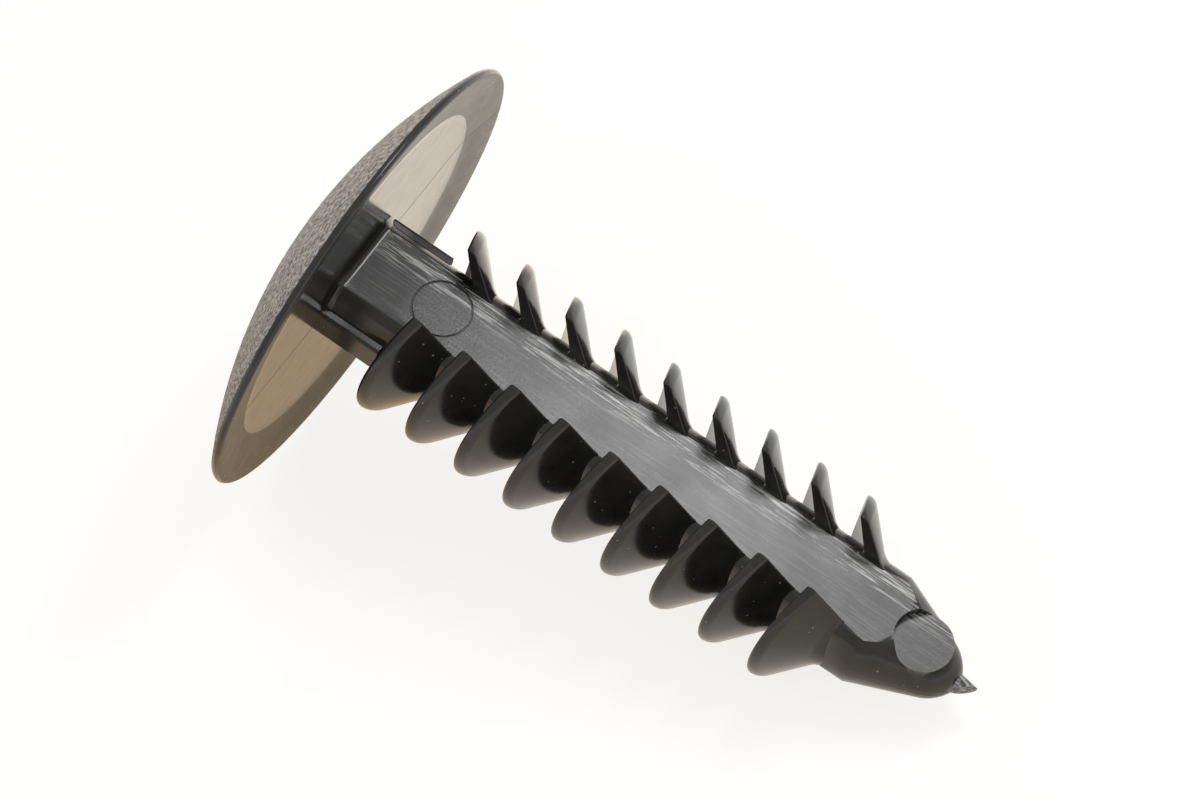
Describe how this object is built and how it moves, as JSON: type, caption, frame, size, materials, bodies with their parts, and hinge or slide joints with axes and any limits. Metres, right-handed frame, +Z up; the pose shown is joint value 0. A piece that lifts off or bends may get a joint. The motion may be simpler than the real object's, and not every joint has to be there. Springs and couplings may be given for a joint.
{
  "type": "plastic push rivet",
  "caption": "One-piece plastic push-in rivet: thin domed head, flat-sided round shank with rows of flexible back-leaning fins, and a blunt tapered nose.",
  "frame": {"origin": "centre of the bounding box's bottom face, on the surface that the rivet lies on", "axes": "+Z up, +X along the shank from the head towards the nose, seen from above; the shank dips towards the nose because the rivet rests on its head's edge and its last fins; +Z is the side that the front flat faces"},
  "size_m": [0.0322, 0.02, 0.0194],
  "materials": {
    "black_nylon": "glossy fins and underside, satin flats, finely grained crown"
  },
  "bodies": {
    "root": {"push_rivet": "black_nylon"}
  },
  "joints": []
}
